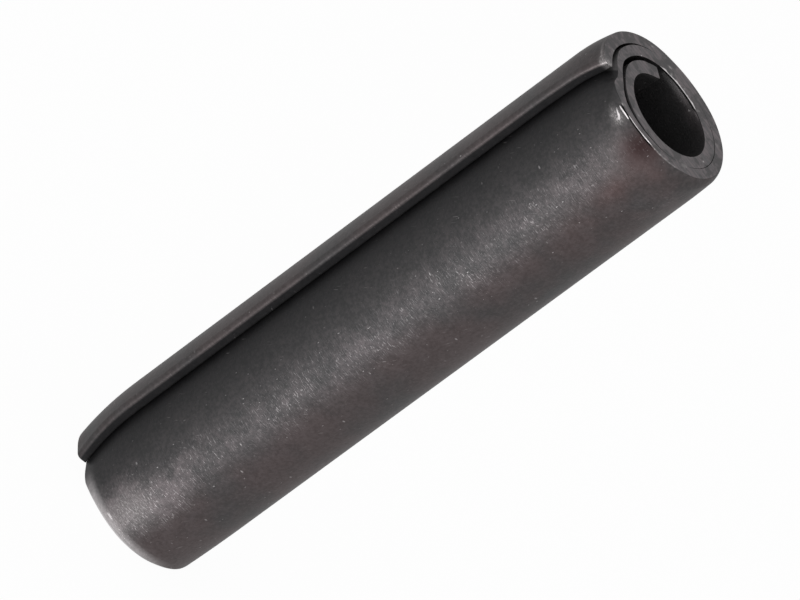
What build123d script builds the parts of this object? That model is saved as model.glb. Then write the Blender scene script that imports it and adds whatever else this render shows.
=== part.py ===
from build123d import *
import os
from dataclasses import dataclass
from math import acos, asin, atan2, cos, degrees, radians, sin, sqrt

# A coiled spring pin: one strip of spring steel rolled about two and a quarter turns into a
# tube, with both ends swaged. It stands on one end, and the bore's axis is the Z axis.
# Lengths are in millimetres. Angles are in degrees about the Z axis, counter-clockwise from +X.

# Driving dimensions
pin_length = 35.0
bore_diameter = 4.72
strip_thickness = 0.67

# How the turns lie on each other
tight_gap = 0.07  # between the first and second turns, where they lie closest
turn_slack = 0.10  # how far the second turn's centre lies from the bore's
slack_angle = 215.0  # the side where the first and second turns stand furthest apart
step_angle = 75.0  # where each turn starts to climb over the one inside it
step_sweep = 90.0  # how much of a turn that climb takes

# The inner end of the strip, which dips into the bore
tip_lead = 35.0  # from the top of the climb to where the strip bends away from the bore's circle
tip_tightening = 0.66  # how much smaller the bend's radius is than the first turn's
tip_bend = 58.0
tip_straight = 0.64
tip_corner = 0.05

# The outer end of the strip, a lip that runs along the pin
lip_gap = 0.04  # between the second turn and the lip
lip_sweep = 44.5
lip_corner = 0.28  # the outer corner, rolled over when the strip was sheared
lip_foot = 0.06  # the inner corner

# The swaged ends
swage_length = 3.4
swage_drop = 0.24  # how far the lip is pressed in at the end face
swaged_gap = 0.03  # what the press leaves of the closest gap between the first and second turns
swaged_slack = 0.07  # what it leaves of the second turn's slack
swage_steps = 4
edge_length = 0.48  # the rounded outer edge, along the pin
edge_inset = 0.28  # the rounded outer edge, across the pin
edge_steps = 5
die_clearance = 0.015  # how far the die stands off the strip where the rounded edge begins

half = strip_thickness / 2
climbed_angle = step_angle + step_sweep
bore_centre = Vector(0, 0)


def direction(angle):
    return Vector(cos(radians(angle)), sin(radians(angle)))


@dataclass
class Bend:
    """An arc of the strip's middle line, run counter-clockwise."""

    centre: Vector
    radius: float
    start: float
    sweep: float

    def point(self, angle, offset=0):
        return self.centre + direction(angle) * (self.radius + offset)

    def edge(self, offset):
        return CenterArc(self.centre, self.radius + offset, self.start, self.sweep)

    @property
    def finish(self):
        return self.start + self.sweep


def bend_to(begin, heading, end):
    """The arc that leaves begin along heading and passes through end."""
    chord = end - begin
    across = chord.dot(direction(heading + 90))
    radius = chord.dot(chord) / (2 * across)
    sweep = 2 * degrees(atan2(across, chord.dot(direction(heading))))
    return Bend(begin + direction(heading + 90) * radius, radius, heading - 90, sweep)


def climb(lower, upper):
    """Two tangent arcs that carry the strip from the end of one turn to the start of the next."""
    begin = lower.point(lower.finish)
    end = upper.point(upper.start)
    leave = direction(lower.finish + 90)
    arrive = direction(upper.start + 90)
    chord = end - begin
    spread = 2 * (1 - leave.dot(arrive))
    along = chord.dot(leave + arrive)
    reach = (sqrt(along**2 + spread * chord.dot(chord)) - along) / spread
    middle = (begin + leave * reach + end - arrive * reach) / 2
    rise = bend_to(begin, lower.finish + 90, middle)
    return [rise, bend_to(middle, rise.finish + 90, end)]


class Coil:
    """The rolled strip in section, with its turns closed up by a share of what the press does."""

    def __init__(self, closing):
        gap = tight_gap + (swaged_gap - tight_gap) * closing
        slack = turn_slack + (swaged_slack - turn_slack) * closing
        first_radius = (bore_diameter + strip_thickness) / 2
        self.second_radius = first_radius + strip_thickness + gap + slack
        self.lip_radius = self.second_radius + strip_thickness + lip_gap
        self.centre = bore_centre + direction(slack_angle) * slack

        first_start = climbed_angle + tip_lead
        tip_centre = bore_centre + direction(first_start) * tip_tightening
        tip_radius = first_radius - tip_tightening
        self.tip = Bend(tip_centre, tip_radius, first_start - tip_bend, tip_bend)
        first = Bend(bore_centre, first_radius, first_start, 360 - step_sweep - tip_lead)
        second = Bend(self.centre, self.second_radius, climbed_angle, 360 - step_sweep)
        lip = Bend(self.centre, self.lip_radius, climbed_angle, lip_sweep)
        self.last_climb = climb(second, lip)
        self.bends = [self.tip, first, *climb(first, second), second, *self.last_climb, lip]

    def side(self, offset):
        """One side of the strip, at an offset from its middle line, from the tip to the lip."""
        begin = self.tip.point(self.tip.start, offset)
        end = begin - direction(self.tip.start + 90) * tip_straight
        return [Line(end, begin), *[bend.edge(offset) for bend in self.bends]]

    def section(self):
        """The strip's two sides, closed at both ends, with the corners rounded."""
        inside = self.side(-half)
        outside = self.side(half)
        tip_end = Line(inside[0] @ 0, outside[0] @ 0)
        lip_end = Line(inside[-1] @ 1, outside[-1] @ 1)
        face = make_face([*inside, *outside, tip_end, lip_end])
        face = fillet(face.vertices().sort_by_distance(tip_end @ 0.5)[:2], tip_corner)
        face = fillet(face.vertices().sort_by_distance(lip_end @ 1)[0], lip_corner)
        return fillet(face.vertices().sort_by_distance(lip_end @ 0)[0], lip_foot).face()

    def die_outline(self, inset):
        """The convex outline, drawn in by an inset all the way round. From the lip's rolled
        corner a flat bridges the recess to the point where it meets the second turn."""
        corner_radius = self.lip_radius + half - lip_corner
        corner_angle = climbed_angle + lip_sweep - degrees(asin(lip_corner / corner_radius))
        turn_radius = self.second_radius + half
        flat_angle = corner_angle + degrees(acos((turn_radius - lip_corner) / corner_radius))
        # the flat runs on until it meets the lip's circle
        offset = half - inset
        beyond = degrees(acos((self.second_radius + offset) / (self.lip_radius + offset)))
        turn_sweep = climbed_angle + 360 - step_sweep - flat_angle
        turn = Bend(self.centre, self.second_radius, flat_angle, turn_sweep)
        lip_arc = flat_angle - beyond - climbed_angle
        lip = Bend(self.centre, self.lip_radius, climbed_angle, lip_arc)
        corner = lip.point(lip.finish, offset)
        arcs = [bend.edge(offset) for bend in [turn, *self.last_climb, lip]]
        return make_face([*arcs, Line(corner, turn.point(flat_angle, offset))])


# Pressing an end draws its section towards the point opposite the lip, which stays in line
# with the body, so the lip comes in by the whole drop.
free_coil = Coil(0)
lip_angle = climbed_angle + lip_sweep
anchor = free_coil.centre - direction(lip_angle) * (free_coil.second_radius + half)
press_span = free_coil.second_radius + free_coil.lip_radius + strip_thickness


def press_share(depth):
    return max(0.0, 1 - depth / swage_length) ** 2


def pressed(face, depth):
    """A section as it lies at a depth below the lower end face."""
    factor = 1 - swage_drop * press_share(depth) / press_span
    drawn_in = Pos(anchor) * scale(Pos(-anchor) * face, by=factor)
    return Pos(0, 0, depth) * drawn_in


def at_upper_end(face):
    """The same section, as far from the upper end as it was from the lower one."""
    height = face.center().Z
    return Pos(0, 0, pin_length - 2 * height) * face


def rounded_inset(depth):
    """How far the rounded edge is drawn in at a depth: a quarter of an ellipse."""
    share = 1 - depth / edge_length
    return edge_inset * (1 - sqrt(1 - share**2))


def rolled_strip():
    """The rolled strip, pressed in at both ends, before its edges are rounded."""
    depths = [swage_length * step / swage_steps for step in range(swage_steps + 1)]
    layers = [pressed(Coil(press_share(depth)).section(), depth) for depth in depths]
    body = extrude(layers[-1], pin_length - 2 * swage_length)
    lower_end = loft(layers, ruled=True)
    upper_end = loft([at_upper_end(layer) for layer in layers], ruled=True)
    return body + lower_end + upper_end


def die_layer(inset, depth):
    return pressed(Coil(press_share(depth)).die_outline(inset - die_clearance), depth)


def die_space():
    """The space inside the two dies: it rounds the outer edge at each end and clears the body."""
    angles = [90 * step / edge_steps for step in range(edge_steps + 1)]
    depths = [edge_length * (1 - cos(radians(angle))) for angle in angles]
    layers = [die_layer(rounded_inset(depth), depth) for depth in depths]
    layers.append(die_layer(-strip_thickness, swage_length))
    lower = loft(layers, ruled=True)
    upper = loft([at_upper_end(layer) for layer in layers], ruled=True)
    middle = extrude(layers[-1], pin_length - 2 * swage_length)
    return middle + lower + upper


coiled_pin = rolled_strip() & die_space()
solid = coiled_pin.solid()
solid.label = "coiled_pin"

box = solid.bounding_box()
print("solids", len(coiled_pin.solids()), "faces", len(solid.faces()), "volume", round(solid.volume, 2))
print("box", box.min, box.max)
print("across lip", round(press_span, 3))

os.makedirs("parts", exist_ok=True)
export_step(solid, "parts/coiled_pin.step")
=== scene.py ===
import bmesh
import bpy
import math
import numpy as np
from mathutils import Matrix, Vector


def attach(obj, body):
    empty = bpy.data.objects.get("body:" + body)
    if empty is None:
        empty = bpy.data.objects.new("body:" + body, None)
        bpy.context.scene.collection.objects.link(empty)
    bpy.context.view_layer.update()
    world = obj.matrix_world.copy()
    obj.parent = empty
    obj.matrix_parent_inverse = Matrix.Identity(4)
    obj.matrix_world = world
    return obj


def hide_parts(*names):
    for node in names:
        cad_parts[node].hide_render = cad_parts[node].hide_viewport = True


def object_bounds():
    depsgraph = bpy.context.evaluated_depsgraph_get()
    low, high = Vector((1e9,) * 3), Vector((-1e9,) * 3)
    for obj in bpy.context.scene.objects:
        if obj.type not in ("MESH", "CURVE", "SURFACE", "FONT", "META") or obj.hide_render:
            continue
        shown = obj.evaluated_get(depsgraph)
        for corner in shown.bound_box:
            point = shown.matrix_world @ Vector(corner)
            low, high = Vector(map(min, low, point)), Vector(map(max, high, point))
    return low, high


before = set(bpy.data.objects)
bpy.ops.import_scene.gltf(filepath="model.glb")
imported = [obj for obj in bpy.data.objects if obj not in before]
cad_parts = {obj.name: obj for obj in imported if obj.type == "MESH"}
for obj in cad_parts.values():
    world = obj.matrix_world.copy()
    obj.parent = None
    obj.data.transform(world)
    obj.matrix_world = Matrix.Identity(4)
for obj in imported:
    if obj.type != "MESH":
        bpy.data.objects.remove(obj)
cad_low, cad_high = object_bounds()

# %% [markdown]
# # A coiled spring pin
# The pin is one strip of spring steel, rolled about two and a quarter turns into a tube and
# pressed at both ends in a die. It stands on one end, with the bore's axis along Z. The packed
# solid already has that form. This lesson replaces it with a finer skin of the same form, where
# the pressed ends have their bruises and burrs, and gives it a dark phosphated finish.

MM = 0.001
PIN_LENGTH = (cad_high[2] - cad_low[2]) / MM
print("pin length", round(PIN_LENGTH, 3), "mm")

# %% [markdown]
# ## The strip in section
# A rolled strip is a chain of arcs that meet without a kink: the tip that dips into the bore,
# the first turn, a climb over it, the second turn, a climb over that one, and the lip. Points in
# the plane are complex numbers here, so that turning a point by an angle is one multiplication,
# and every value may be an array. That lets one call lay out the section at every height at once.

# %% Sizes of the coil, in millimetres and degrees
BORE_RADIUS = 2.36
STRIP = 0.67
HALF = STRIP / 2
TIGHT_GAP = 0.07
TURN_SLACK = 0.10
SLACK_ANGLE = 215.0
CLIMB_START = 75.0
CLIMB_SWEEP = 90.0
CLIMB_END = CLIMB_START + CLIMB_SWEEP
TIP_LEAD = 35.0
TIP_TIGHTENING = 0.66
TIP_BEND = 58.0
TIP_STRAIGHT = 0.64
LIP_GAP = 0.04
LIP_SWEEP = 44.5
LIP_ANGLE = CLIMB_END + LIP_SWEEP
FIRST_RADIUS = BORE_RADIUS + HALF
SECOND_RADIUS = FIRST_RADIUS + STRIP + TIGHT_GAP + TURN_SLACK
LIP_RADIUS = SECOND_RADIUS + STRIP + LIP_GAP
# what share of the gap and of the slack the press closes up at an end face
GAP_CLOSED = 0.75
SLACK_CLOSED = 0.35
print("across the lip", round(SECOND_RADIUS + LIP_RADIUS + STRIP, 2), "mm")


# %% Arcs of the strip's middle line
def turned(angle):
    """The unit direction at an angle in degrees, as a complex number."""
    return np.exp(1j * np.radians(angle))


def bend_to(begin, heading, end):
    """The arc that leaves begin along heading and passes through end: its centre, radius,
    first angle and sweep. The chord's share across the heading sets the radius."""
    chord = (end - begin) * np.conj(turned(heading))
    radius = np.abs(chord) ** 2 / (2 * chord.imag)
    sweep = 2 * np.degrees(np.arctan2(chord.imag, chord.real))
    return begin + 1j * turned(heading) * radius, radius, heading - 90, sweep


def climb(lower, upper):
    """Two tangent arcs from the end of one turn to the start of the next. They meet midway
    between two points that lie equally far along the leaving and the arriving tangent."""
    finish = lower[2] + lower[3]
    begin = lower[0] + lower[1] * turned(finish)
    end = upper[0] + upper[1] * turned(upper[2])
    leave = 1j * turned(finish)
    arrive = 1j * turned(upper[2])
    chord = end - begin
    spread = 2 * (1 - (leave * np.conj(arrive)).real)
    along = (chord * np.conj(leave + arrive)).real
    reach = (np.sqrt(along**2 + spread * np.abs(chord) ** 2) - along) / spread
    middle = (begin + leave * reach + end - arrive * reach) / 2
    rise = bend_to(begin, finish + 90, middle)
    return [rise, bend_to(middle, rise[2] + rise[3] + 90, end)]


def coil_arcs(closing):
    """The chain of arcs, with the play between the turns closed up by a share from 0 to 1. Each
    arc is its centre, radius, first angle and sweep."""
    gap = TIGHT_GAP * (1 - GAP_CLOSED * closing)
    slack = TURN_SLACK * (1 - SLACK_CLOSED * closing)
    second_radius = FIRST_RADIUS + STRIP + gap + slack
    lip_radius = second_radius + STRIP + LIP_GAP
    centre = turned(SLACK_ANGLE) * slack
    first_start = CLIMB_END + TIP_LEAD
    tip = (turned(first_start) * TIP_TIGHTENING, FIRST_RADIUS - TIP_TIGHTENING)
    tip = (*tip, first_start - TIP_BEND, TIP_BEND)
    first = (0 * closing, FIRST_RADIUS + 0 * closing, first_start, 360 - CLIMB_SWEEP - TIP_LEAD)
    second = (centre, second_radius, CLIMB_END, 360 - CLIMB_SWEEP)
    lip = (centre, lip_radius, CLIMB_END, LIP_SWEEP)
    return [tip, first, *climb(first, second), second, *climb(second, lip), lip]


# %% Stations along the strip
STATIONS = 640
CROWDED_LENGTH = 0.5


def arc_lengths():
    """The length of each piece of the free coil, the straight tip first."""
    arcs = coil_arcs(np.zeros((1, 1)))
    bends = [float(np.squeeze(arc[1] * np.radians(arc[3]))) for arc in arcs]
    return np.array([TIP_STRAIGHT, *bends])


LENGTHS = arc_lengths()
STRIP_LENGTH = LENGTHS.sum()
print("strip length", round(STRIP_LENGTH, 2), "mm in", len(LENGTHS), "pieces")


def stations():
    """Distances along the strip: close together at its two ends, where corners are rounded,
    and even between them. The step shrinks to about a quarter towards each end, and the
    distances are the running sum of the steps, scaled to the strip's length."""
    even = np.linspace(0, 1, STATIONS)
    near_tip = np.exp(-even * STRIP_LENGTH / CROWDED_LENGTH)
    near_lip = np.exp(-(1 - even) * STRIP_LENGTH / CROWDED_LENGTH)
    crowd = 0.35 * near_tip + 0.35 * near_lip
    steps = 1 / (1 + 8 * crowd)
    run = np.concatenate([[0], np.cumsum((steps[1:] + steps[:-1]) / 2)])
    return run / run[-1] * STRIP_LENGTH


RUN = stations()


def middle_line(closing, run):
    """The middle line's points and outward normals at distances along the strip. closing has
    one row for each height, and the result has a row for each height and a column for each
    distance. Each distance falls on one piece, and its share of that piece places it there."""
    ends = np.cumsum(LENGTHS)
    starts = ends - LENGTHS
    arcs = coil_arcs(closing)
    points = np.zeros((len(closing), len(run)), complex)
    normals = np.zeros_like(points)
    piece = np.clip(np.searchsorted(ends, run, side="right"), 0, len(LENGTHS) - 1)
    for number, arc in enumerate(arcs, start=1):
        here = piece == number
        share = (run[here] - starts[number]) / LENGTHS[number]
        outward = turned(arc[2] + arc[3] * share[None])
        points[:, here] = arc[0] + arc[1] * outward
        normals[:, here] = outward
    tip = arcs[0]
    here = piece == 0
    outward = turned(tip[2])
    bend_start = tip[0] + tip[1] * outward
    points[:, here] = bend_start - 1j * outward * (TIP_STRAIGHT - run[here])[None]
    normals[:, here] = outward
    return points, normals


# %% [markdown]
# ## The pressed ends
# A die with a round mouth closes each end. It does four things that the eye can find: it draws
# the whole end in a little, it tucks the free corner of the lip down onto the turn below, it
# rounds the outer edge, and it bruises the metal where it slid. Each is a shift of the points
# that depends on the depth below the end face and on the angle about the bore, so each is one
# function on whole arrays, and they are applied in the order in which the die does them.

# %% Sizes of the pressed ends: the upper end first, then the lower
UPPER, LOWER = 0, 1
PRESS_DROP = (0.144, 0.273)
PRESS_LENGTH = (2.0, 3.84)
EDGE_LENGTH = (0.82, 0.47)
BITE_LENGTH = (0.20, 0.10)
TUCK_DEPTH = (0.26, 0.31)
TUCK_LENGTH = (4.6, 4.2)
LIP_CORNER = 0.28
LIP_FOOT = 0.06
TIP_CORNER = 0.05
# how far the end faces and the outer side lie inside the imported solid's
FACE_RECESS = 0.03
SKIN_INSET = 0.003
print("pressed in by", PRESS_DROP[UPPER], "and", PRESS_DROP[LOWER], "mm")


# %% Small helpers for arrays
def bump(angle, centre, width):
    """A smooth hill over an angle, 1 at its centre and about a third at its width."""
    away = (angle - centre + 180) % 360 - 180
    return np.exp(-((away / width) ** 2))


def smooth(low, high, value):
    """0 below low, 1 above high, and an S-curve between them."""
    share = np.clip((value - low) / (high - low), 0, 1)
    return share * share * (3 - 2 * share)


def ripple(value, seed, waves, longest):
    """A wavy line with no pattern to it: a sum of sines, each half as long and 0.7 as high as
    the one before, with phases drawn from a seed."""
    phases = np.random.default_rng(seed).uniform(0, 2 * np.pi, waves)
    total = 0 * value
    for number, phase in enumerate(phases):
        total = total + 0.7**number * np.sin(2 * np.pi * value * 1.9**number / longest + phase)
    return total / 2


# %% The die's outline
FREE = np.zeros((1, 1))
NORMALS = turned(np.arange(0, 360, 1.0))


def corner_inset(distance, radius):
    """How far a rounded corner of a given radius draws a side in, at a distance from the end."""
    left = np.clip(radius - distance, 0, radius)
    return radius - np.sqrt(radius**2 - left**2)


def free_outline():
    """The outer side of the free coil, with the lip's corner rounded."""
    middle, normal = middle_line(FREE, RUN)
    inset = corner_inset(STRIP_LENGTH - RUN, LIP_CORNER)
    return (middle + normal * (HALF - inset))[0]


# how far the free coil reaches along each direction
SUPPORT = (free_outline()[None] * np.conj(NORMALS[:, None])).real.max(1)
print("coil reaches", round(SUPPORT.min(), 2), "to", round(SUPPORT.max(), 2), "mm from the axis")


def die_radius(angle, inset):
    """How far from the axis the die's wall lies in a direction. The die touches the coil's
    convex outline, and drawing it in by an inset brings every tangent line in by that much, so
    the wall is where the direction first meets one of those lines."""
    facing = (turned(angle)[..., None] * np.conj(NORMALS)).real
    reach = (SUPPORT - inset[..., None]) / np.maximum(facing, 1e-3)
    return np.where(facing > 1e-3, reach, np.inf).min(-1)


# %% The four things that the die does
COIL_CENTRE = complex(turned(SLACK_ANGLE) * TURN_SLACK)
ANCHOR = COIL_CENTRE - turned(LIP_ANGLE) * (SECOND_RADIUS + HALF)
PRESS_SPAN = SECOND_RADIUS + LIP_RADIUS + STRIP


def press_share(depth, end):
    """How much of the press is left at a depth: 1 at the face, and a parabola down to 0."""
    return np.clip(1 - depth / PRESS_LENGTH[end], 0, 1) ** 2


def draw_in(points, depth, end):
    """The end shrinks towards the point opposite the lip, which stays in line with the body."""
    factor = 1 - PRESS_DROP[end] * press_share(depth, end) / PRESS_SPAN
    return ANCHOR + (points - ANCHOR) * factor


def tuck(points, depth, end):
    """The lip's free corner is pushed towards the axis. The push fades with the depth, with the
    angle from the corner, and inwards, so that the first turn stays where it is."""
    radius = np.abs(points)
    angle = np.degrees(np.angle(points))
    away = (angle - LIP_ANGLE + 180) % 360 - 180
    window = np.exp(-((away / np.where(away < 0, 14, 15)) ** 2))
    fade = np.clip(1 - depth / TUCK_LENGTH[end], 0, 1) ** 1.8
    inward = np.clip((radius - FIRST_RADIUS) / (LIP_RADIUS + HALF - FIRST_RADIUS), 0, 1)
    return points * (1 - TUCK_DEPTH[end] * fade * window * inward / np.maximum(radius, 0.1))


EDGE_ANGLES = (0, 60, 120, 150, 182, 205, 228, 240, 247, 255, 270, 280, 290, 310, 330)
EDGE_INSETS = (
    (0.29, 0.26, 0.30, 0.22, 0.14, 0.20, 0.38, 0.40, 0.38, 0.45, 0.55, 0.56, 0.50, 0.42, 0.34),
    (0.34, 0.32, 0.34, 0.15, 0.12, 0.15, 0.28, 0.34, 0.37, 0.41, 0.42, 0.42, 0.41, 0.37, 0.34),
)


def bitten(angle):
    """1 on the side that the die bit into, below the lip's free edge, and 0 elsewhere."""
    return smooth(232, 250, angle % 360) * (1 - smooth(315, 350, angle % 360))


def edge_inset(angle, end):
    """How far the die draws the edge in at the face: a short list of angles, joined by straight
    lines, with a slow unevenness."""
    inset = np.interp(angle, EDGE_ANGLES, EDGE_INSETS[end], period=360)
    return inset + 0.015 * ripple(angle, 11 + end, 3, 120)


def round_edge(points, depth, end):
    """Over most of the rim the edge follows a quarter of an ellipse down from the end face.
    Where the die bit in, it is a longer and flatter curve that meets the face at an angle.
    Points that stand outside it are moved straight in, towards the axis."""
    angle = np.degrees(np.angle(points))
    bite = bitten(angle)
    share = np.clip(1 - depth / (EDGE_LENGTH[end] + BITE_LENGTH[end] * bite), 0, 1)
    profile = (1 - bite) * (1 - np.sqrt(1 - share**2)) + bite * share**1.7
    limit = die_radius(angle, edge_inset(angle, end) * profile)
    radius = np.abs(points)
    return points * np.minimum(1, limit / np.maximum(radius, 0.1))


# %% [markdown]
# ## What the blow did to the upper face
# The lip's free corner was hammered into the turn below it. That dented the turn, opened a
# wedge under the lip, and broke down the first turn's outer corner. The marks follow the strip,
# so they are listed by the angle unwound from the tip: 139 to 499 degrees is the first turn, 499
# to 859 the second, and the rest the lip. Each list gives a shift away from the axis, largest at
# the end face.

# %% Marks of the blow, by the unwound angle
OUTER_ANGLES = (
    139, 145, 160, 180, 200, 210, 220, 250, 280, 300,
    330, 360, 499, 545, 560, 570, 576, 582, 590, 597,
)
OUTER_SHIFTS = (
    0, 0.05, 0.07, 0, -0.07, -0.11, -0.13, -0.13, -0.11, -0.07,
    -0.03, 0, 0, -0.1, -0.25, -0.32, -0.3, -0.12, 0, 0,
)
INNER_ANGLES = (
    420, 436, 450, 470, 485, 498, 510, 525, 550, 560, 570, 580, 590, 600,
    620, 640, 660, 690, 720, 740, 800, 870, 885, 900, 910, 920, 930,
)
INNER_SHIFTS = (
    0, 0.05, 0.06, 0.06, 0.03, 0, 0, 0.03, 0.09, 0.03, -0.04, -0.09, -0.05, 0,
    -0.07, -0.15, -0.14, -0.1, -0.06, -0.06, -0.05, -0.03, 0, 0.04, 0.06, 0.08, 0.07,
)
MARK_LENGTH = 0.8


def blow(unwound, depth, end, outer):
    """The shift away from the axis, which fades with the depth. The lower end took no blow."""
    if end == LOWER:
        return 0 * unwound
    table = (OUTER_ANGLES, OUTER_SHIFTS) if outer else (INNER_ANGLES, INNER_SHIFTS)
    return np.interp(unwound, *table) * np.clip(1 - depth / MARK_LENGTH, 0, 1) ** 2


# %% [markdown]
# ## Burrs
# Where the die stopped, the metal that it pushed ahead stands up as a thin ragged edge. On the
# side that took most of the bite it is doubled, with a groove behind it. The bore's edge has a
# smaller one from shearing the strip. Both are shifts of a few hundredths of a millimetre along
# the strip's normal within the first tenth of a millimetre from the end face.

# %% Burrs on the outer rim and on the bore's edge
def rim_burr(angle, depth, end):
    """Outward shift of the outer side: a ridge at the face and a groove behind it, strongest
    on the bitten side, and a dent below them where the die first touched."""
    along = smooth(240, 246, angle % 360) * (1 - smooth(278, 292, angle % 360))
    strength = along * (1.0 if end == UPPER else 0.4)
    strength = strength * (0.85 + 0.3 * ripple(angle, 21 + end, 5, 40))
    ridge = 0.020 * np.exp(-((depth / 0.040) ** 2))
    groove = -0.060 * np.exp(-(((depth - 0.074) / 0.022) ** 2))
    dent = -0.050 * bump(angle, 252, 6) * np.exp(-(((depth - 0.40) / 0.13) ** 2))
    return strength * (ridge + groove) + (dent if end == UPPER else 0)


def bore_burr(angle, depth, end):
    """Outward shift of the inner side: a thin ridge into the bore at the face, and a groove
    below it, on the side opposite the tip."""
    strength = bump(angle, 98, 28) * (1.0 if end == UPPER else 0.6)
    strength = strength * (0.75 + 0.5 * ripple(angle, 31 + end, 6, 30))
    ridge = -0.012 * np.exp(-((depth / 0.025) ** 2))
    groove = 0.055 * np.exp(-(((depth - 0.075) / 0.035) ** 2))
    return strength * (ridge + groove)


# %% The whole skin on one grid of heights and stations
RIM_ZONE = 0.55
SWAGE_ZONE = 4.2


def heights():
    """Heights up the pin: close together at both ends, where the die worked, and wide apart
    along the plain body. Each end zone is a power curve, so that its steps grow inwards."""
    rim = RIM_ZONE * np.linspace(0, 1, 21) ** 1.5
    swage = RIM_ZONE + SWAGE_ZONE * np.linspace(0, 1, 11)[1:] ** 1.3
    end = np.concatenate([rim, swage])
    body = np.linspace(end[-1], PIN_LENGTH - end[-1], 11)[1:-1]
    return np.concatenate([end, body, (PIN_LENGTH - end)[::-1]])


LEVELS = heights()
FREE_LINE = middle_line(FREE, RUN)[0][0]
UNWOUND = np.degrees(np.unwrap(np.angle(FREE_LINE)))
OUTSIDE = UNWOUND > UNWOUND[-1] - 365
BORED = UNWOUND < UNWOUND[0] + 365
print("unwound from", round(UNWOUND[0], 1), "to", round(UNWOUND[-1], 1), "degrees")


def skin(level, run, outer):
    """One side of the strip at one height, as a row of complex points. The die's work is done in
    its own order: tuck, round the edge, raise the burr, bruise, and draw the whole end in."""
    end = UPPER if level > PIN_LENGTH / 2 else LOWER
    depth = min(level, PIN_LENGTH - level)
    closing = np.full((1, 1), press_share(depth, end))
    middle, normal = middle_line(closing, run)
    if outer:
        offset = HALF - SKIN_INSET - corner_inset(STRIP_LENGTH - run, LIP_CORNER)
        offset = offset - corner_inset(run, TIP_CORNER)
    else:
        offset = -HALF + corner_inset(STRIP_LENGTH - run, LIP_FOOT)
        offset = offset + corner_inset(run, TIP_CORNER)
    points = middle + normal * offset
    points = tuck(points, depth, end)
    angle = np.degrees(np.angle(points))
    if outer:
        points = round_edge(points, depth, end)
        points = points + normal * rim_burr(angle, depth, end) * OUTSIDE
    else:
        points = points + normal * bore_burr(angle, depth, end) * BORED
    points = points + normal * blow(UNWOUND, depth, end, outer)
    return draw_in(points, depth, end)[0]


outer_side = np.array([skin(level, RUN, True) for level in LEVELS])
inner_side = np.array([skin(level, RUN, False) for level in LEVELS])
print("skin", outer_side.shape, "heights by stations")


# %% Joining the sides round the strip's long edges
# where the points lie across the strip, crowded towards its edges to keep them crisp
SHARES = np.array([0, 0.04, 0.13, 0.35, 0.65, 0.87, 0.96, 1])
ACROSS = len(SHARES)


def raised(level):
    """The end faces lie a little inside the solid's, as the outer side does, so that the skin
    stays within the solid's box."""
    return np.clip(level, FACE_RECESS, PIN_LENGTH - FACE_RECESS)


def strip_tube():
    """The strip as a closed tube: up the outer side, across the upper face to the inner side,
    down it, and back across the lower face. Rows run around the strip's section."""
    share = SHARES[1:-1, None]
    top = outer_side[-1] + (inner_side[-1] - outer_side[-1]) * share
    bottom = inner_side[0] + (outer_side[0] - inner_side[0]) * share
    rows = np.concatenate([outer_side, top, inner_side[::-1], bottom])
    level = raised(LEVELS)
    upper = np.full(len(top), level[-1])
    lower = np.full(len(bottom), level[0])
    return rows, np.concatenate([level, upper, level[::-1], lower])


rows, row_height = strip_tube()


def grid_faces(count, stride, start, closed):
    """Quads between the rows of a grid of points. A closed grid joins its last row to its first."""
    row = np.arange(count if closed else count - 1)[:, None]
    column = np.arange(stride - 1)[None]
    a = start + row * stride + column
    b = start + (row + 1) % count * stride + column
    return np.stack([a, a + 1, b + 1, b], -1).reshape(-1, 4)


def cap(column):
    """The strip's cut end: a grid between the outer and the inner side at one station."""
    points = outer_side[:, column, None] * (1 - SHARES) + inner_side[:, column, None] * SHARES
    return points, np.repeat(raised(LEVELS)[:, None], ACROSS, 1)


def as_points(plane, z):
    """Complex points and heights as rows of X, Y and Z, in metres."""
    return np.stack([plane.real, plane.imag, z + 0 * plane.real], -1).reshape(-1, 3) * MM


tube_points = as_points(rows, row_height[:, None])
tube_faces = grid_faces(len(rows), STATIONS, 0, True)
lip_cap, cap_height = cap(STATIONS - 1)
tip_cap, cap_height = cap(0)
lip_start = len(tube_points)
tip_start = lip_start + lip_cap.size
lip_faces = grid_faces(len(LEVELS), ACROSS, lip_start, False)
tip_faces = grid_faces(len(LEVELS), ACROSS, tip_start, False)[:, ::-1]
cap_points = [as_points(lip_cap, cap_height), as_points(tip_cap, cap_height)]
points = np.concatenate([tube_points, *cap_points])
faces = np.concatenate([tube_faces, lip_faces, tip_faces])
print("points", len(points), "faces", len(faces))

# %% [markdown]
# ## Where the finish has changed, and where light and shade are painted
# The phosphate coat is thin, so it tells what the pin has been through. It is bare and bright
# where the die or a sheared edge cut through it, with painted highlights on the burrs, the dent
# and a streak near the lower end, and a painted reflection of the floor along the lower rim. It
# is rubbed lighter where the pin has rolled and slid against others, with a painted highlight
# along the band that faces the front lamp. Painted shade darkens the burrs' grooves, the wedge
# under the lip, the turn beside the lip and the lip's cut end, and, with a reddish stain, the end
# of the band at the upper rim. It is browner on the lower side and near the upper rim. Each of
# these is a number from 0 to 1 at every point of the mesh. The shader breaks the numbers up with
# noise, so they only need to say where, not how it looks.

# %% The place of each point: along the strip, up the pin, and across the strip's thickness
def tube_and_caps(tube, lip, tip):
    """One flat array from the values on the tube's rows and on the two caps."""
    return np.concatenate([np.ravel(tube), np.ravel(lip), np.ravel(tip)])


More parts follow.
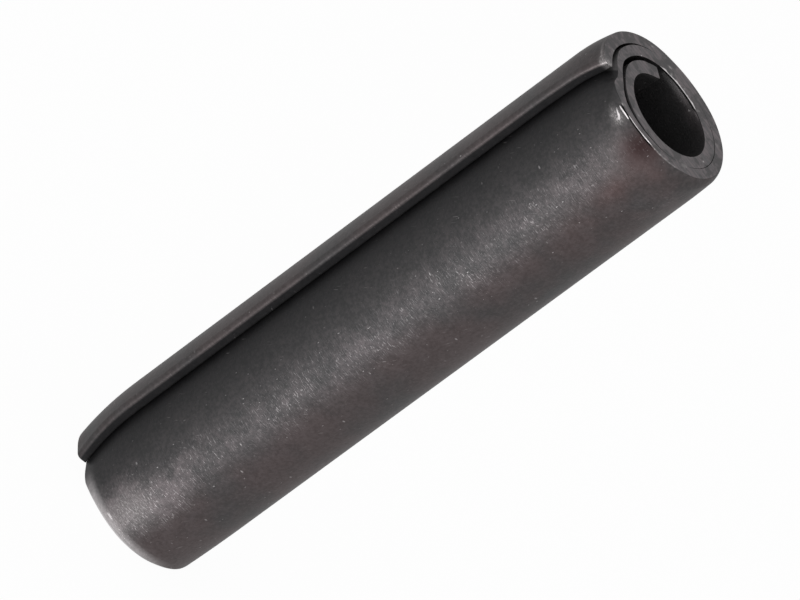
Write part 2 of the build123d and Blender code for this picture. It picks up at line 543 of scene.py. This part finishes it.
row_across = np.concatenate([0 * LEVELS, SHARES[1:-1], 0 * LEVELS + 1, SHARES[-2:0:-1]])
tube_run = np.tile(RUN, (len(rows), 1))
run_at = tube_and_caps(tube_run, cap_height * 0 + STRIP_LENGTH, cap_height * 0)
unwound_at = np.interp(run_at, RUN, UNWOUND)
height_at = tube_and_caps(np.repeat(row_height[:, None], STATIONS, 1), cap_height, cap_height)
cap_share = np.repeat(SHARES[None], len(LEVELS), 0)
across_at = tube_and_caps(np.repeat(row_across[:, None], STATIONS, 1), cap_share, cap_share)
angle_at = np.degrees(np.arctan2(points[:, 1], points[:, 0])) % 360
upper_depth = PIN_LENGTH - height_at
lower_depth = height_at
last_turn = unwound_at > UNWOUND[-1] - 362
outside_at = last_turn & (across_at < 0.01)
lip_at = unwound_at > UNWOUND[-1] - 60
print("strip runs", round(float(unwound_at.min())), "to", round(float(unwound_at.max())), "degrees")


# %% Two shapes that every mask is made of
def hill(value, centre, width):
    """1 at its centre and about a third at its width: a bell curve."""
    return np.exp(-(((value - centre) / width) ** 2))


def below(value, edge, width):
    """1 below an edge and 0 above it, over a width."""
    return 1 - smooth(edge - width / 2, edge + width / 2, value)


# %% Places that several masks share
first_turn = unwound_at < 499
rim_side = smooth(242, 246, angle_at) * (1 - smooth(280, 287, angle_at))
rim_edge = last_turn * below(upper_depth, 0.050, 0.02) * below(across_at, 0.07, 0.08)
bore_wall = first_turn & (upper_depth < 0.6)
burr_side = smooth(70, 80, angle_at) * (1 - smooth(126, 138, angle_at))
torn = 0.95 + 0.25 * ripple(angle_at, 41, 6, 25)
worn_away = 0.75 + 0.5 * ripple(height_at, 51, 5, 9)
print("outer side", int(outside_at.sum()), "points, lip", int(lip_at.sum()))

# %% Bare burrs and the lip's bruise, and painted highlights on the burrs, the dent and far below
# bright burr lines: bare metal on the crests, and painted highlight where they catch the light
rim_line = 1.6 * rim_edge * torn * smooth(252, 257, angle_at) * (1 - smooth(272, 290, angle_at))
first_side = smooth(243, 245, angle_at) * (1 - smooth(253, 258, angle_at))
first_depth = upper_depth + 0.004 * (angle_at - 245)
first_line = 1.5 * outside_at * first_side * hill(first_depth, 0.145, 0.021)
sheared_edge = below(upper_depth, 0.05, 0.03) * smooth(0.80, 0.93, across_at)
bore_line = 1.3 * bore_wall * burr_side * torn * sheared_edge
streak_depth = upper_depth - 0.014 * (angle_at - 249.5)
# painted highlight: a streak and a glow on the dent's facet
dent_streak = outside_at * hill(angle_at, 249.5, 5.0) * hill(streak_depth, 0.36, 0.045)
dent_glow = outside_at * hill(angle_at, 253, 4) * hill(upper_depth, 0.50, 0.09)
dent_shine = 1.1 * dent_streak + 0.55 * dent_glow
lip_bruise = 0.35 * lip_at * hill(run_at, STRIP_LENGTH, 0.3) * below(upper_depth, 0.2, 0.2)
# painted highlight: a bright streak near the lower rim
far_streak = outside_at * hill(angle_at, 265, 4) * hill(lower_depth, 0.55, 0.05)
bare_and_highlight = rim_line + first_line + bore_line + dent_shine + lip_bruise + far_streak
bare_and_highlight = np.clip(bare_and_highlight, 0, 1.5)

# %% Worn edges, and a painted reflection of the floor along the lower end's edge
lip_corner = 0.12 * worn_away * hill(run_at, STRIP_LENGTH - 0.12, 0.07) * (across_at < 0.01)
end_edges = 0.3 * outside_at * below(np.minimum(upper_depth, lower_depth), 0.2, 0.2)
edges = np.clip(lip_corner + end_edges, 0, 1)
# painted reflection of the white floor on the lower rim, which faces down towards it
lower_rim_reflection = outside_at * smooth(218, 250, angle_at) * (1 - smooth(292, 340, angle_at))
reflection_band = 0.8 * below(lower_depth, 0.55, 0.6)
reflection_core = 0.9 * hill(angle_at, 272, 22) * below(lower_depth, 0.2, 0.2)
lower_rim_reflection = lower_rim_reflection * (reflection_band + reflection_core)

# %% Painted shade: near black in the burrs' grooves and in the wedge that the blow opened
groove = 2.0 * outside_at * rim_side * hill(upper_depth, 0.077, 0.019)
bore_groove = 1.6 * bore_wall * burr_side * hill(upper_depth, 0.085, 0.05) * (across_at > 0.98)
wedge = (unwound_at > 205) & (unwound_at < 320) & (across_at < 0.01)
wedge = 0.9 * wedge * smooth(0.03, 0.16, upper_depth) * below(upper_depth, 0.7, 0.3)
wedge = wedge * smooth(205, 228, unwound_at) * (1 - smooth(270, 320, unwound_at))
painted_groove_shade = np.clip(groove + bore_groove + wedge, 0, 1)

# %% Painted shade beside the lip, under its ledge, and on its cut end
lip_shade = outside_at * (1 - smooth(209, 262, angle_at)) * (run_at < STRIP_LENGTH - 6)
lip_shade = lip_shade * smooth(160, 212, angle_at)
lip_shade = np.where(run_at > STRIP_LENGTH - 0.01, 0.92, lip_shade)

# %% Rubbed where the pin rolls, and a painted highlight along the band lit by the front lamp
# less of it near the upper rim, where the bent end already catches the lamp's highlight
dimmed_near_rim = 0.6 * hill(angle_at, 291, 13) * hill(height_at, 33.2, 1.8)
faded = 1 - 0.35 * hill(height_at, 33.6, 1.6)
# the band at the lower end: rubbed, and painted brighter as a highlight
far_rub_and_highlight = smooth(238, 268, angle_at) * (1 - smooth(276, 298, angle_at))
far_rub_and_highlight = far_rub_and_highlight * hill(height_at, 2.0, 2.2)
rubbed_and_highlit = 0.35 * hill(angle_at, 274, 24) * (1 - dimmed_near_rim) * faded + far_rub_and_highlight + 0.09 * lip_at
rubbed_and_highlit = rubbed_and_highlit + 0.34 * hill(angle_at, 325, 20) * hill(upper_depth, 2.2, 1.8)
rubbed_and_highlit = rubbed_and_highlit + 0.12 * hill(angle_at, 265, 10) * hill(upper_depth, 3.4, 1.4)
rubbed_and_highlit = outside_at * np.clip(rubbed_and_highlit, 0, 1)

# %% Brown below, browner near the upper rim, and a reddish stain with painted shade at it
brown = outside_at * smooth(275, 300, angle_at) * (1 - 0.5 * smooth(340, 360, angle_at))
brown_patch = 0.9 * hill(angle_at, 302, 24) * hill(height_at, 33.0, 3.2)
brown = 0.54 * brown + outside_at * (brown_patch + 0.35 * lip_at)
brown = np.clip(brown, 0, 1)
# a reddish stain at the upper rim, darkened as painted shade over the highlight that the bent end
# catches
stain_and_shade = outside_at * hill(angle_at, 278, 14) * below(upper_depth, 1.2, 1.6)

# %% Scuffs. On the upper face each is an angle, a radius, and its width along both
SCUFFS = (
    (120, 3.28, 3.0, 0.10), (118, 2.85, 1.8, 0.20), (74, 2.55, 1.6, 0.14), (38, 3.20, 2.2, 0.14),
    (162, 3.02, 1.5, 0.12), (191, 3.82, 1.5, 0.15), (137, 3.92, 2.5, 0.05), (255, 2.60, 3.0, 0.09),
    (322, 3.00, 4.0, 0.10), (209, 3.80, 2.5, 0.25), (244, 3.45, 1.5, 0.30), (100, 2.70, 1.5, 0.10),
)


def face_scuffs():
    """The strongest of the listed scuffs at each point of the upper face."""
    radius = np.hypot(points[:, 0], points[:, 1]) / MM
    marks = [
        hill(angle_at, angle, wide) * hill(radius, reach, deep)
        for angle, reach, wide, deep in SCUFFS
    ]
    return np.max(marks, axis=0) * (upper_depth < 0.05)


lip_scuff = lip_at * hill(run_at, STRIP_LENGTH, 0.55) * below(upper_depth, 0.35, 0.3)
lip_ridge = lip_at * (across_at < 0.01) * hill(upper_depth, 0.15, 0.08) * hill(angle_at, 200, 13)
far_scuff = outside_at * hill(angle_at, 271, 13) * hill(lower_depth, 1.5, 1.5)
# the dent's facet below the rim: scuffs, and a painted sheen where it shines
dent_scuff_and_sheen = outside_at * hill(angle_at, 250, 8) * hill(upper_depth, 0.45, 0.28)
# the fading tail of the rim's bright line: bare burr and painted highlight
rim_taper = rim_edge * smooth(270, 288, angle_at) * (1 - smooth(298, 325, angle_at))
scuffed_and_sheen = 0.8 * face_scuffs() + 0.6 * lip_scuff + 0.5 * lip_ridge + 0.62 * far_scuff
scuffed_and_sheen = scuffed_and_sheen + 0.7 * dent_scuff_and_sheen + 0.9 * rim_taper + 0.22 * rubbed_and_highlit
scuffed_and_sheen = np.clip(scuffed_and_sheen, 0, 1)

# %% Inside the bore, and the light that falls into its mouth
in_bore = np.clip((across_at > 0.9) * (unwound_at < 520) + (run_at < 0.01), 0, 1)
bore_light = in_bore * hill(angle_at, 75, 26) * below(upper_depth, 0.5, 0.7)

# %% All the masks by name
masks = {
    "bare_and_highlight": bare_and_highlight,
    "edges": edges,
    "lower_rim_reflection": lower_rim_reflection,
    "painted_groove_shade": painted_groove_shade,
    "lip_shade": lip_shade,
    "rubbed_and_highlit": rubbed_and_highlit,
    "brown": brown,
    "stain_and_shade": stain_and_shade,
    "scuffed_and_sheen": scuffed_and_sheen,
    "in_bore": in_bore,
    "bore_light": bore_light,
}
for name, mask in masks.items():
    print(name, "covers", round(float(np.mean(mask > 0.3)) * 100, 1), "% of the points")

# %% The mesh, welded at its seams and closed
def make_mesh(name, points, faces):
    """A mesh from arrays of points and quads."""
    mesh = bpy.data.meshes.new(name)
    mesh.vertices.add(len(points))
    mesh.vertices.foreach_set("co", points.ravel())
    mesh.loops.add(faces.size)
    mesh.loops.foreach_set("vertex_index", faces.ravel())
    mesh.polygons.add(len(faces))
    mesh.polygons.foreach_set("loop_start", np.arange(0, faces.size, 4))
    mesh.update(calc_edges=True)
    mesh.validate()
    return mesh


def add_attribute(mesh, name, kind, domain, values):
    """Store one value, or one row of three, for each point or face."""
    layer = mesh.attributes.new(name, kind, domain)
    field = "vector" if kind == "FLOAT_VECTOR" else "value"
    layer.data.foreach_set(field, np.ascontiguousarray(values, dtype=np.float32).ravel())


pin_mesh = make_mesh("rolled_pin", points, faces)
for name, mask in masks.items():
    add_attribute(pin_mesh, name, "FLOAT", "POINT", mask)
along_strip = np.stack([run_at, height_at, across_at], -1)
add_attribute(pin_mesh, "along_strip", "FLOAT_VECTOR", "POINT", along_strip)
flat_end = np.ptp(height_at[faces], axis=1) < 1e-6
add_attribute(pin_mesh, "end_face", "FLOAT", "FACE", flat_end)
WELD = 1e-7
welded = bmesh.new()
welded.from_mesh(pin_mesh)
bmesh.ops.remove_doubles(welded, verts=welded.verts, dist=WELD)
bmesh.ops.recalc_face_normals(welded, faces=welded.faces)
open_edges = sum(not edge.is_manifold for edge in welded.edges)
print("open edges", open_edges, "volume", round(welded.calc_volume(signed=True) / MM**3, 1), "mm3")
welded.to_mesh(pin_mesh)
welded.free()
SHARP_ANGLE = math.radians(38)
pin_mesh.polygons.foreach_set("use_smooth", np.ones(len(pin_mesh.polygons), bool))
pin_mesh.set_sharp_from_angle(angle=SHARP_ANGLE)
pin = bpy.data.objects.new("rolled_pin", pin_mesh)
bpy.context.scene.collection.objects.link(pin)
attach(pin, "root")
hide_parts("coiled_pin")
print(pin.name, "has", len(pin_mesh.vertices), "points and", len(pin_mesh.polygons), "faces")

# %% [markdown]
# ## Shader arithmetic
# A mask is easier to read as an expression than as a chain of nodes. `Wire` holds a node's
# output, and arithmetic on it adds the Math node that does it, so `1 - mask` and `0.3 * mask`
# work as they look. Colours and vectors have three parts, so they go through Mix and Vector
# Math nodes, which `node` adds like any other.

# %% A socket with arithmetic
class Wire:
    """A node's output. Arithmetic on it adds a Math node to its tree and returns that output."""

    def __init__(self, tree, socket):
        self.tree = tree
        self.socket = socket

    def maths(self, operation, *values):
        return node(self.tree, "ShaderNodeMath", {"operation": operation}, dict(enumerate(values)))

    def __add__(self, other):
        return self.maths("ADD", self, other)

    def __radd__(self, other):
        return self.maths("ADD", other, self)

    def __sub__(self, other):
        return self.maths("SUBTRACT", self, other)

    def __rsub__(self, other):
        return self.maths("SUBTRACT", other, self)

    def __mul__(self, other):
        return self.maths("MULTIPLY", self, other)

    def __rmul__(self, other):
        return self.maths("MULTIPLY", other, self)


def node(tree, kind, settings, sockets, output=0):
    """Add a node: its settings first, then the value or the link of each named socket."""
    made = tree.nodes.new(kind)
    for name, value in settings.items():
        setattr(made, name, value)
    for name, value in sockets.items():
        if isinstance(value, Wire):
            tree.links.new(value.socket, made.inputs[name])
        else:
            made.inputs[name].default_value = value
    return Wire(tree, made.outputs[output])


def step(value, low, high):
    """0 below low and 1 above high, with an S-curve between them."""
    settings = {"interpolation_type": "SMOOTHSTEP"}
    sockets = {"Value": value, "From Min": low, "From Max": high}
    return node(value.tree, "ShaderNodeMapRange", settings, sockets)


def mix(factor, first, second):
    """A blend of two colours. The Mix node's colour sockets are numbers 6 and 7, and its blended
    colour is output 2."""
    settings = {"data_type": "RGBA"}
    sockets = {0: factor, 6: first, 7: second}
    return node(factor.tree, "ShaderNodeMix", settings, sockets, 2)


def noise(tree, place, scale, detail=2.0, rough=0.5):
    """Soft cloudy noise about 0.5, with scale features to each unit of the place."""
    sockets = {"Vector": place, "Scale": scale, "Detail": detail, "Roughness": rough}
    return node(tree, "ShaderNodeTexNoise", {}, sockets)


def stretched(place, factors):
    """A place with each of its parts multiplied, which squeezes the pattern that reads it."""
    settings = {"operation": "MULTIPLY"}
    return node(place.tree, "ShaderNodeVectorMath", settings, {0: place, 1: factors})


def mask_of(tree, name, output=2):
    """A mask of the mesh. Output 2 is its number, and output 1 reads a row of three."""
    return node(tree, "ShaderNodeAttribute", {"attribute_name": name}, {}, output)


# %% [markdown]
# ## Dark phosphated steel
# The coat is a crust of fine crystals soaked in oil: nearly black, satin, and mottled at two
# scales. Grains about 0.2 mm across break up the shine, and clouds a few millimetres wide show
# how unevenly the bath took. Handling leaves short fine scratches, most of them round the pin
# because it rolls, and small bright nicks. The cut ends were tumbled after the coat went on, so
# they are lighter and a little smoother.

# %% The steel, and the masks that it reads
steel = bpy.data.materials.new("dark_phosphated_steel")
steel.use_nodes = True
tree = steel.node_tree
principled = tree.nodes["Principled BSDF"]
METAL = 0.85
principled.inputs["Metallic"].default_value = METAL
principled.inputs["Specular Tint"].default_value = (0.75, 0.75, 0.75, 1)

place = node(tree, "ShaderNodeTexCoord", {}, {}, 3)
place = stretched(place, (1 / MM, 1 / MM, 1 / MM))
strip_place = mask_of(tree, "along_strip", 1)
bare_and_highlight = mask_of(tree, "bare_and_highlight")
edges = mask_of(tree, "edges")
painted_groove_shade = mask_of(tree, "painted_groove_shade")
lip_shade = mask_of(tree, "lip_shade")
scuffed_and_sheen = mask_of(tree, "scuffed_and_sheen")
rubbed_and_highlit = mask_of(tree, "rubbed_and_highlit")
brown = mask_of(tree, "brown")
stain_and_shade = mask_of(tree, "stain_and_shade")
in_bore = mask_of(tree, "in_bore")
bore_light = mask_of(tree, "bore_light")
lower_rim_reflection = mask_of(tree, "lower_rim_reflection")
end_face = mask_of(tree, "end_face")
print("masks read by", steel.name)

# %% Patterns: grain, clouds, scratches round the pin, slanted scratches, and nicks
grain = noise(tree, place, 5.5, 3.0, 0.6)
mottle = noise(tree, place, 1.3, 4.0, 0.6)
cloud = noise(tree, place, 0.28, 2.0, 0.5)
spotty = noise(tree, stretched(strip_place, (7.0, 13.0, 7.0)), 1.0, 3.0, 0.7)
patchy = noise(tree, stretched(strip_place, (0.75, 0.45, 1.0)), 1.0, 3.0, 0.6)
polish = noise(tree, stretched(place, (0.9, 7.0, 1.0)), 1.0, 3.0, 0.6)
round_lines = noise(tree, stretched(strip_place, (3.8, 15.0, 1.0)), 1.0, 2.0, 0.5)
round_scratch = step(round_lines, 0.56, 0.68)
slant = {"Vector": strip_place, "Angle": 0.5}
slanted = node(tree, "ShaderNodeVectorRotate", {"rotation_type": "Z_AXIS"}, slant)
slant_lines = noise(tree, stretched(slanted, (14.0, 1.2, 1.0)), 1.0, 2.0, 0.5)
slant_scratch = step(slant_lines, 0.66, 0.76)


def nicks(where, scale, size, share):
    """Small irregular spots, one in some of the cells that fill the surface. Noise bends the
    edge of each, and its cell's random colour says whether it is there and how bright."""
    cells = {"Vector": where, "Scale": scale, "Randomness": 1.0}
    distance = node(tree, "ShaderNodeTexVoronoi", {}, cells, 0)
    random = node(tree, "ShaderNodeTexVoronoi", {}, cells, 1)
    pick = node(tree, "ShaderNodeSeparateColor", {}, {0: random}, 0)
    ragged = distance + 0.108 * scale * (grain - 0.5)
    spot = 1 - step(ragged, 0.4 * size * scale, size * scale)
    return spot * step(pick, 1 - share, 1.0)


nick = nicks(stretched(strip_place, (1.0, 1.8, 1.0)), 1.0, 0.10, 0.45)
nick = nick + nicks(stretched(strip_place, (2.0, 1.0, 1.0)), 2.6, 0.055, 0.35)
face_nick = nicks(stretched(place, (1.3, 1.0, 1.0)), 1.1, 0.10, 0.5)
print("patterns ready")

# %% Colours
PHOSPHATE = (0.0480, 0.0470, 0.0478, 1)
DEEP = (0.010, 0.010, 0.011, 1)
BROWN = (0.070, 0.049, 0.048, 1)
STAIN_AND_SHADE = (0.034, 0.0190, 0.0190, 1)
LIGHT = (0.142, 0.121, 0.126, 1)
CUT = (0.091, 0.086, 0.089, 1)
# bare steel of scratches, nicks and burrs, and the colour of the painted highlights and reflection
STEEL_AND_HIGHLIGHT = (0.63, 0.60, 0.605, 1)
SCUFF_AND_SHEEN = (0.270, 0.255, 0.255, 1)
BORE = (0.072, 0.070, 0.071, 1)
# painted shade: the black of the shadow lines under the burrs and in the wedge
GROOVE_SHADE = (0.003, 0.003, 0.003, 1)

# %% Coat: phosphate, brown, mottle, painted shade, stain, rub, painted highlight, scratches, nicks
uneven = 0.55 * grain + 0.25 * mottle + 0.2 * cloud
coat = mix(brown * step(cloud, 0.25, 0.60), PHOSPHATE, BROWN)
coat = mix(step(uneven, 0.42, 0.66) * 0.17, coat, LIGHT)
coat = mix(step(1 - uneven, 0.46, 0.66) * 0.17, coat, DEEP)
# painted shade beside the lip and on its cut end
coat = mix(lip_shade * 0.85, coat, DEEP)
# reddish stain and painted shade at the upper rim
coat = mix(stain_and_shade * (0.7 + 0.5 * mottle), coat, STAIN_AND_SHADE)
# rubbed lighter, and a painted highlight along the band that faces the front lamp
rub_and_highlight = rubbed_and_highlit * (0.40 + 0.30 * step(mottle, 0.40, 0.62) + 0.65 * step(patchy, 0.40, 0.60))
coat = mix(step(rub_and_highlight * (0.5 + grain), 0.05, 1.2) * 0.75, coat, LIGHT)
worn_and_highlit = step(rubbed_and_highlit, 0.05, 0.40)
scratched = (0.05 + 0.5 * worn_and_highlit) * round_scratch * step(mottle, 0.35, 0.60)
scratched = scratched + 0.3 * slant_scratch * step(cloud, 0.45, 0.6)
coat = mix(step(scratched, 0.0, 0.6) * (0.03 + 0.22 * step(cloud, 0.40, 0.62)), coat, STEEL_AND_HIGHLIGHT)
coat = mix(worn_and_highlit * step(1 - spotty, 0.54, 0.70) * 0.35, coat, DEEP)
coat = mix(worn_and_highlit * step(spotty, 0.56, 0.74) * 0.11, coat, STEEL_AND_HIGHLIGHT)
coat = mix(nick * (1 - lip_shade) * (0.25 + 0.3 * rubbed_and_highlit), coat, STEEL_AND_HIGHLIGHT)
print("coat ready after", len(tree.nodes), "nodes")

# %% The cut ends, the bore, and what lies over them all
cut = mix(step(polish, 0.42, 0.60) * 0.80, CUT, LIGHT)
cut = mix(step(1 - mottle, 0.47, 0.58) * 0.75, cut, PHOSPHATE)
cut = mix(step(grain, 0.55, 0.75) * 0.30, cut, LIGHT)
cut = mix(face_nick * 0.5, cut, STEEL_AND_HIGHLIGHT)
colour = mix(end_face, coat, cut)
side = 1 - end_face
colour = mix(in_bore * side * 0.8, colour, BORE)
colour = mix(bore_light * side * mottle, colour, LIGHT)
colour = mix(nick * in_bore * side * 0.5, colour, STEEL_AND_HIGHLIGHT)
worn_edge = step(edges + 0.6 * (mottle - 0.5) + 0.4 * (grain - 0.5), 0.30, 0.65)
colour = mix(worn_edge * 0.45, colour, LIGHT)
# scuffs, with painted sheen on the dent and along the band
scuff_and_sheen = step(scuffed_and_sheen, 0.02, 0.9) * (0.35 + step(spotty, 0.48, 0.70))
colour = mix(scuff_and_sheen, colour, SCUFF_AND_SHEEN)
# painted reflection of the floor along the lower rim
colour = mix(lower_rim_reflection * (0.35 + 0.5 * grain), colour, STEEL_AND_HIGHLIGHT)
# bare metal and painted highlights, made ragged
ragged_bare_and_highlight = bare_and_highlight + 1.3 * (grain - 0.5) + 0.5 * (mottle - 0.5)
bright = step(ragged_bare_and_highlight, 0.32, 0.95) * step(bare_and_highlight, 0.02, 0.2)
colour = mix(bright, colour, STEEL_AND_HIGHLIGHT)
# painted shade in the grooves under the burrs and in the wedge
colour = mix(painted_groove_shade, colour, GROOVE_SHADE)
tree.links.new(colour.socket, principled.inputs["Base Color"])
print("colour ready after", len(tree.nodes), "nodes")

# %% Gloss and relief
roughness = 0.50 + 0.20 * (mottle - 0.5) + 0.25 * stain_and_shade - 0.08 * rubbed_and_highlit
roughness = roughness - 0.16 * bright - 0.12 * lower_rim_reflection - 0.06 * end_face
tree.links.new(roughness.socket, principled.inputs["Roughness"])
RELIEF_DEPTH = 0.012 * MM
relief = 0.5 * grain + 0.35 * mottle - 0.25 * round_scratch - 0.25 * slant_scratch - 0.5 * nick
relief = relief * (1 - 0.6 * end_face)
bumps = {"Height": relief, "Distance": RELIEF_DEPTH, "Strength": 1.0}
normal = node(tree, "ShaderNodeBump", {}, bumps)
tree.links.new(normal.socket, principled.inputs["Normal"])
pin_mesh.materials.append(steel)
print("steel nodes", len(tree.nodes))

# %% [markdown]
# ## Floor, light and camera
# The floor and the world show white to the camera and in reflections, and light the pin at a
# plain level otherwise, so the background is white without more light on the pin. A small share
# of the floor stays plain lit paper, which holds the pin's soft shadow. One small soft lamp in
# front draws the highlight along the pin, and a large one above opens the shadows.

# %% Floor
FLOOR_SIZE = 6.0
floor_points = np.array([(-1, -1, 0), (1, -1, 0), (1, 1, 0), (-1, 1, 0)], float) * FLOOR_SIZE / 2
floor = bpy.data.objects.new("floor", make_mesh("floor", floor_points, np.array([[0, 1, 2, 3]])))
bpy.context.scene.collection.objects.link(floor)
paper = bpy.data.materials.new("white_paper")
paper.use_nodes = True
sheet = paper.node_tree


def seen(tree):
    """1 where a surface is seen by the camera, or shows in metal or through glass."""
    rays = ("Is Camera Ray", "Is Glossy Ray", "Is Transmission Ray")
    camera, glossy, through = (node(tree, "ShaderNodeLightPath", {}, {}, ray) for ray in rays)
    return camera + glossy + through


PAPER = (0.82, 0.82, 0.82, 1)
WHITE = (1, 1, 1, 1)
WHITE_SHARE = 0.96
lit = node(sheet, "ShaderNodeBsdfDiffuse", {}, {"Color": PAPER})
glow = node(sheet, "ShaderNodeEmission", {}, {"Color": WHITE, "Strength": 1.0})
blend = node(sheet, "ShaderNodeMixShader", {}, {0: WHITE_SHARE * seen(sheet), 1: lit, 2: glow})
sheet.links.new(blend.socket, sheet.nodes["Material Output"].inputs["Surface"])
floor.data.materials.append(paper)
print("floor", FLOOR_SIZE, "m square")

# %% World and lamps
world = bpy.data.worlds.new("studio")
bpy.context.scene.world = world
world.use_nodes = True
sky = world.node_tree
AMBIENT = 0.55
strength = AMBIENT + (1 - AMBIENT) * seen(sky)
sky.nodes["Background"].inputs["Color"].default_value = WHITE
sky.links.new(strength.socket, sky.nodes["Background"].inputs["Strength"])


def softbox(name, place, aim, size, power):
    """A square area lamp that faces its aim."""
    lamp = bpy.data.lights.new(name, "AREA")
    lamp.shape = "SQUARE"
    lamp.size = size
    lamp.energy = power
    holder = bpy.data.objects.new(name, lamp)
    holder.location = place
    holder.rotation_euler = (Vector(aim) - Vector(place)).to_track_quat("-Z", "Y").to_euler()
    bpy.context.scene.collection.objects.link(holder)
    return holder


MIDDLE = Vector((0, 0, PIN_LENGTH * MM / 2))
softbox("front_softbox", (0.09, -0.48, 0.04), MIDDLE, 0.08, 2.4)
softbox("top_softbox", (-0.1, -0.1, 0.6), MIDDLE, 0.4, 1.0)
print("lamps", [light.name for light in bpy.data.lights])

# %% Camera, in degrees and metres, with its focal length in millimetres
ELEVATION = 29.107
HEADING = -0.243
ROLL = 53.578
DISTANCE = 0.50443
AIM = Vector((-0.402, 0.057, 17.870)) * MM
LENS = 489.68


def place_camera():
    """The camera looks along +Y, turned by the heading, tipped down by the elevation, and
    rolled about its own line of sight."""
    look = Matrix.Rotation(math.radians(-HEADING), 4, "Z")
    look = look @ Matrix.Rotation(math.radians(90 - ELEVATION), 4, "X")
    look = look @ Matrix.Rotation(math.radians(ROLL), 4, "Z")
    data = bpy.data.cameras.new("camera")
    data.lens = LENS
    data.sensor_width = 36
    data.clip_end = 20
    holder = bpy.data.objects.new("camera", data)
    holder.matrix_world = Matrix.Translation(AIM) @ look @ Matrix.Translation((0, 0, DISTANCE))
    bpy.context.scene.collection.objects.link(holder)
    return holder


bpy.context.scene.camera = place_camera()
bpy.context.scene.view_settings.view_transform = "Standard"
print("camera", round(DISTANCE, 3), "m from its aim, lens", LENS)
